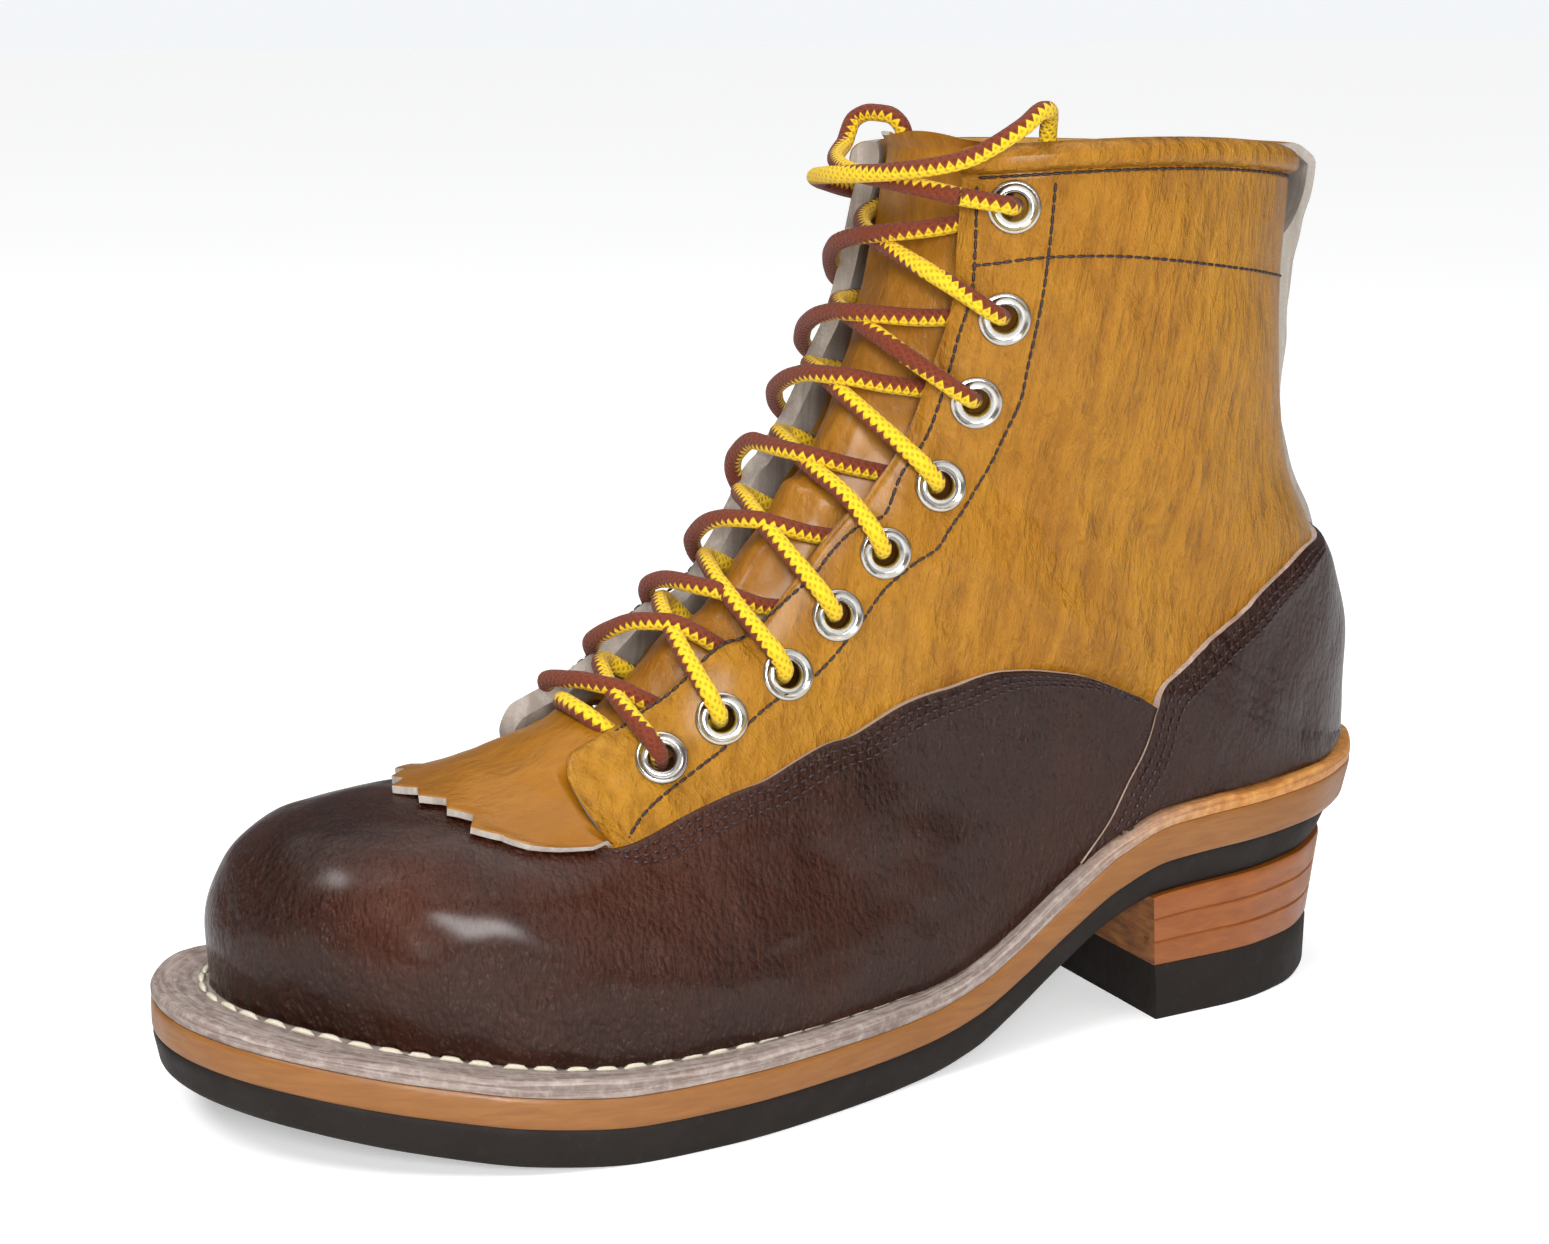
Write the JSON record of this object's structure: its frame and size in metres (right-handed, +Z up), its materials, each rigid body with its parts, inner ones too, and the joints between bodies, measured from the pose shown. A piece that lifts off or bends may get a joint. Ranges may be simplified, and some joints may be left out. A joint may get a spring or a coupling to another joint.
{
  "type": "logger boot",
  "caption": "Lace-up logger boot for the left foot, with a stitched-down upper, fringed kiltie, leather midsole and high stacked heel.",
  "frame": {"origin": "centre of the bounding box's base, on the floor under the middle of the sole", "axes": "-Y towards the toe, +Y towards the heel, +X towards the outer side of the foot, +Z up"},
  "size_m": [0.1093, 0.308, 0.2184],
  "materials": {
    "outsole_rubber": "moulded, matt",
    "cap_rubber": "moulded, matt",
    "midsole_leather": "edge-dressed, satin",
    "stack_leather": "stacked lifts, waxed edge",
    "flange_leather": "raw split leather",
    "insole_leather": "smooth vegetable-tanned",
    "upper_leather": "oiled full grain, glossy",
    "tongue_leather": "oiled full grain",
    "kiltie_leather": "oiled full grain, raw cut edge",
    "vamp_leather": "oiled full grain, glossy",
    "counter_leather": "oiled full grain, glossy",
    "backstay_leather": "oiled full grain, raw edge",
    "eyelet_nickel": "nickel plated",
    "lace_braid": "round braid"
  },
  "bodies": {
    "root": {"outsole": "outsole_rubber", "midsole": "midsole_leather", "welt": "flange_leather", "heel_stack": "stack_leather", "heel_cap": "cap_rubber", "insole": "insole_leather", "upper": "upper_leather", "vamp": "vamp_leather", "counter": "counter_leather", "backstay": "backstay_leather", "tongue": "tongue_leather", "kiltie": "kiltie_leather", "lace": "lace_braid", "lace_end_outer": "lace_braid", "lace_end_inner": "lace_braid", "eyelet_outer_1": "eyelet_nickel", "eyelet_outer_2": "eyelet_nickel", "eyelet_outer_3": "eyelet_nickel", "eyelet_outer_4": "eyelet_nickel", "eyelet_outer_5": "eyelet_nickel", "eyelet_outer_6": "eyelet_nickel", "eyelet_outer_7": "eyelet_nickel", "eyelet_outer_8": "eyelet_nickel", "eyelet_outer_9": "eyelet_nickel", "eyelet_inner_1": "eyelet_nickel", "eyelet_inner_2": "eyelet_nickel", "eyelet_inner_3": "eyelet_nickel", "eyelet_inner_4": "eyelet_nickel", "eyelet_inner_5": "eyelet_nickel", "eyelet_inner_6": "eyelet_nickel", "eyelet_inner_7": "eyelet_nickel", "eyelet_inner_8": "eyelet_nickel", "eyelet_inner_9": "eyelet_nickel"}
  },
  "joints": []
}
